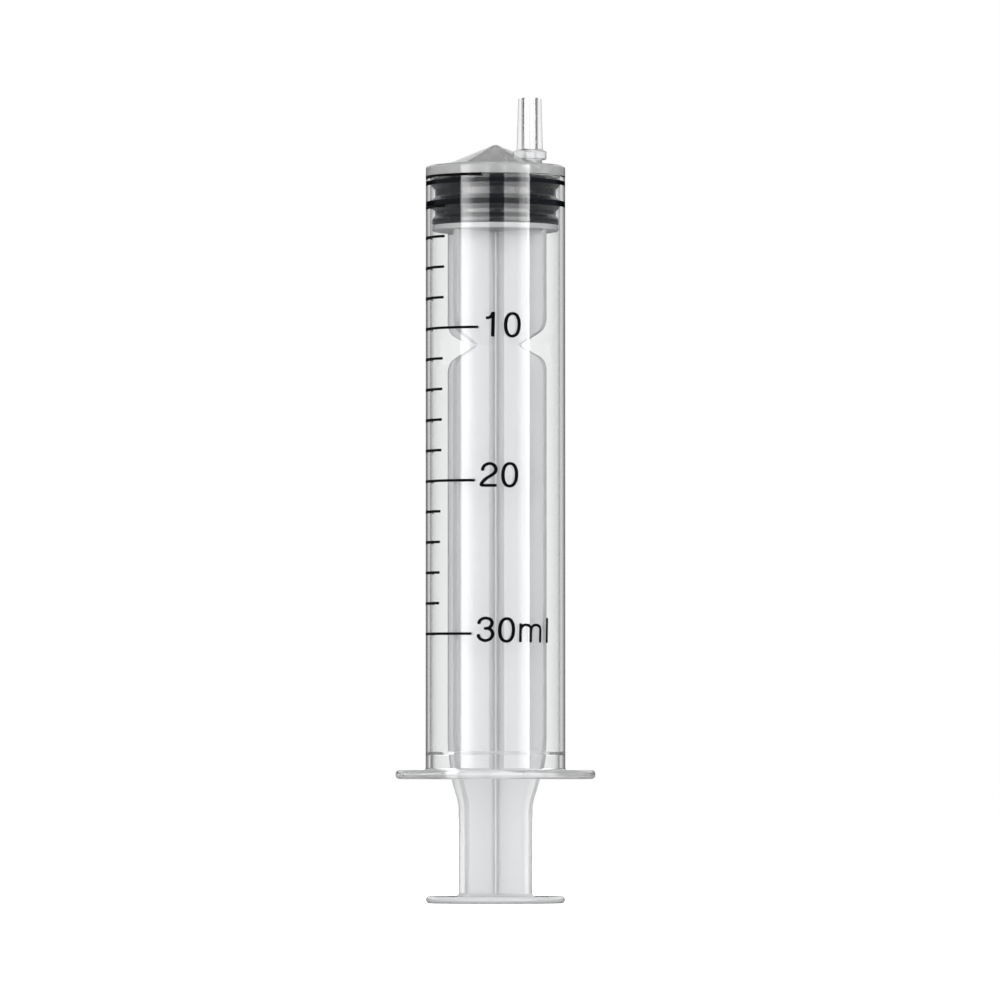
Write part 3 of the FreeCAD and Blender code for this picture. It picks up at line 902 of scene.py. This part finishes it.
# The lamp overhead: name, height, side and brightness.
OVERHEAD = ("lamp_overhead", 1.3, 1.1, 0.7)


def make_lamp(name, place, size, brightness, target):
    """An area lamp that faces the target and lights it without showing in reflections."""
    data = bpy.data.lights.new(name, "AREA")
    data.shape = "RECTANGLE"
    data.size, data.size_y = size
    data.energy = brightness * math.pi * size[0] * size[1]
    lamp = bpy.data.objects.new(name, data)
    bpy.context.collection.objects.link(lamp)
    lamp.location = place
    lamp.rotation_euler = (target - place).to_track_quat("-Z", "Y").to_euler()
    lamp.visible_camera = False
    lamp.visible_glossy = False
    lamp.visible_transmission = False


def make_lamps():
    """Two soft lamps in front and a broad one overhead."""
    for name, turn, distance, height, width, tall, brightness in SOFTBOXES:
        place = around(math.radians(turn), distance, height)
        make_lamp(name, place, (width, tall), brightness, Vector((0, 0, height / 2)))
    name, height, side, brightness = OVERHEAD
    make_lamp(name, Vector((0, 0, height)), (side, side), brightness, Vector((0, 0, 0)))


# The studio in level reflections: brightness by degrees to the right of the camera, round the
# object. The two bright stretches are softboxes, with dark stands beside them. The first list is
# for the outer faces, which mirror nothing from behind, so that outlines stay dark. The second
# list is for reflections inside the plastic and behind it, which also meet the white behind.
STUDIO_ON_OUTSIDE = [
    (-180, 0.0), (-125, 0.0), (-115, 0.15), (-60.5, 0.15), (-60, 7.0), (-55, 8.4), (-49.5, 7.3),
    (-46, 6.4), (-42.5, 4.6), (-39, 3.0), (-35.6, 2.0), (-32, 1.5), (-10.5, 1.1), (-10, 0.15),
    (14.4, 0.15), (14.9, 2.4), (17, 1.5), (20.5, 1.1), (35.6, 1.2), (40.7, 2.95), (44.2, 4.8),
    (47.7, 6.2), (54, 6.6), (55, 9.7), (58.3, 11.6), (58.8, 0.15), (115, 0.15), (125, 0.0),
    (180, 0.0),
]
STUDIO_INSIDE = [
    (-180, 0.35), (-168, 0.35), (-162, 0.45), (-156, 0.65), (-152, 1.15), (-149, 0.6),
    (-145, 0.3), (-140, 0.15), (-60.5, 0.15), (-60, 3.3), (-52, 4.2), (-41, 4.9), (-34, 4.4),
    (-27, 3.8), (-16, 3.1), (-10.5, 2.9), (-10, 0.15), (14.4, 0.15), (14.9, 3.4), (52, 3.2),
    (56, 5.0), (60, 5.6), (60.5, 0.15), (140, 0.15), (145, 0.8), (150, 0.8), (158, 0.65),
    (166, 0.35), (180, 0.35),
]
BRIGHTEST = 12.0
# How steeply a direction climbs, from 0 level to 1 straight up, where the softboxes end and where
# the backdrop ends. Reflections from between the two meet the backdrop behind the object and a
# plain wall in front of it, and from higher up the dark ceiling.
SOFTBOX_TOP = 0.17
BACKDROP_TOP = 0.53
BACKDROP_IN_REFLECTIONS = 1.0
WALL_IN_REFLECTIONS = 0.35
CEILING_IN_REFLECTIONS = 0.05
AMBIENT = 0.72


def studio_round(tree, turn, stops):
    """Brightness of the studio in a direction round the object, where turn goes from 0 to 1."""
    ramp = node(tree, "ShaderNodeValToRGB", {0: turn})
    elements = ramp.color_ramp.elements
    elements.remove(elements[-1])
    for i, (degrees, brightness) in enumerate(stops):
        place = degrees / 360 + 0.5
        level = brightness / BRIGHTEST
        element = elements[0] if i == 0 else elements.new(place)
        element.position = place
        element.color = (level, level, level, 1)
    return maths(tree, "MULTIPLY", ramp.outputs[0], BRIGHTEST)


def chosen(tree, switch, when_on, when_off):
    """One of two values, by a switch that is 1 or 0."""
    difference = maths(tree, "SUBTRACT", when_on, when_off)
    return maths(tree, "MULTIPLY_ADD", switch, difference, when_off)


def at_least_once(tree, depth):
    """1 where a light path has already met a kind of surface, and 0 elsewhere."""
    return maths(tree, "GREATER_THAN", depth, 0.5)


def studio_level(tree, path):
    """Brightness of the studio in reflections, by the direction they look in."""
    direction = node(tree, "ShaderNodeTexCoord").outputs["Generated"]
    back = {"Vector": direction, "Angle": -CAMERA_TURN}
    direction = node(tree, "ShaderNodeVectorRotate", back, rotation_type="Z_AXIS").outputs[0]
    right, away, up = node(tree, "ShaderNodeSeparateXYZ", {"Vector": direction}).outputs
    turn = maths(tree, "ARCTAN2", right, maths(tree, "MULTIPLY", away, -1.0))
    turn = maths(tree, "MULTIPLY_ADD", turn, 1 / math.tau, 0.5)
    inside = at_least_once(tree, path["Transmission Depth"])
    behind = maths(tree, "GREATER_THAN", away, 0.0)
    above_softboxes = maths(tree, "GREATER_THAN", up, SOFTBOX_TOP)
    above_backdrop = maths(tree, "GREATER_THAN", up, BACKDROP_TOP)
    on_inside = studio_round(tree, turn, STUDIO_INSIDE)
    on_outside = studio_round(tree, turn, STUDIO_ON_OUTSIDE)
    level = chosen(tree, inside, on_inside, on_outside)
    walls = chosen(tree, behind, BACKDROP_IN_REFLECTIONS, WALL_IN_REFLECTIONS)
    level = chosen(tree, above_softboxes, walls, level)
    return chosen(tree, above_backdrop, CEILING_IN_REFLECTIONS, level)


def make_world():
    """White to the eye and straight through the plastic, and a studio in its reflections."""
    world = bpy.data.worlds.new("studio")
    bpy.context.scene.world = world
    world.use_nodes = True
    world.cycles.sampling_method = "NONE"
    tree = world.node_tree
    path = node(tree, "ShaderNodeLightPath").outputs
    reflected = at_least_once(tree, path["Glossy Depth"])
    level = chosen(tree, reflected, studio_level(tree, path), 1.0)
    level = chosen(tree, path["Is Diffuse Ray"], AMBIENT, level)
    background = tree.nodes["Background"]
    background.inputs["Color"].default_value = (1, 1, 1, 1)
    tree.links.new(level, background.inputs["Strength"])


# The floor: its side, its colour, what it gives off to the eye, and its colour in reflections.
FLOOR_SIZE = 12.0
FLOOR_COLOUR = 0.86
FLOOR_GLOW = 0.75
FLOOR_IN_REFLECTIONS = 0.35


def make_floor():
    """A plain white floor, which keeps the object's shadow."""
    mesh = bmesh.new()
    bmesh.ops.create_grid(mesh, x_segments=1, y_segments=1, size=FLOOR_SIZE / 2)
    floor = object_from("floor", mesh)
    material, tree, shader = new_material("floor_paper", Roughness=0.9, Specular_IOR_Level=0.0)
    path = node(tree, "ShaderNodeLightPath").outputs
    reflected = at_least_once(tree, path["Glossy Depth"])
    difference = FLOOR_IN_REFLECTIONS - FLOOR_COLOUR
    level = maths(tree, "MULTIPLY_ADD", reflected, difference, FLOOR_COLOUR)
    colour = node(tree, "ShaderNodeCombineXYZ", {0: level, 1: level, 2: level}).outputs[0]
    tree.links.new(colour, shader.inputs["Base Color"])
    seen = maths(tree, "ADD", path["Is Camera Ray"], path["Is Transmission Ray"])
    plain = maths(tree, "SUBTRACT", 1.0, reflected)
    glow = maths(tree, "MULTIPLY", maths(tree, "MULTIPLY", seen, plain), FLOOR_GLOW)
    shader.inputs["Emission Color"].default_value = (1, 1, 1, 1)
    tree.links.new(glow, shader.inputs["Emission Strength"])
    floor.data.materials.append(material)


def set_light_paths():
    """Enough bounces for light to cross the walls of the barrel and the blades inside it."""
    cycles = bpy.context.scene.cycles
    cycles.max_bounces = 32
    cycles.transmission_bounces = 32
    cycles.glossy_bounces = 16
    cycles.transparent_max_bounces = 16


skin = make_skin_group()

barrel = make_barrel()
give(barrel, clear_plastic(skin))
give(barrel, matt_plastic(skin), is_matt)
barrel.visible_shadow = False
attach(barrel, "barrel")
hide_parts("barrel")

piston = make_piston()
give(piston, black_rubber(skin, "black_piston_rubber", 1.0))
give(piston, black_rubber(skin, "pressed_piston_rubber", 0.0), is_pressed)
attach(piston, "piston")
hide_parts("piston")

plunger_rod = make_plunger_rod()
give(plunger_rod, milky_plastic(skin))
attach(plunger_rod, "plunger")
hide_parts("plunger_rod")

ink = scale_ink(skin)
for printing in (make_lines(), make_numbers()):
    give(printing, ink)
    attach(printing, "barrel")

make_camera()
make_lamps()
make_world()
make_floor()
set_light_paths()

bpy.context.scene.view_settings.view_transform = "Standard"
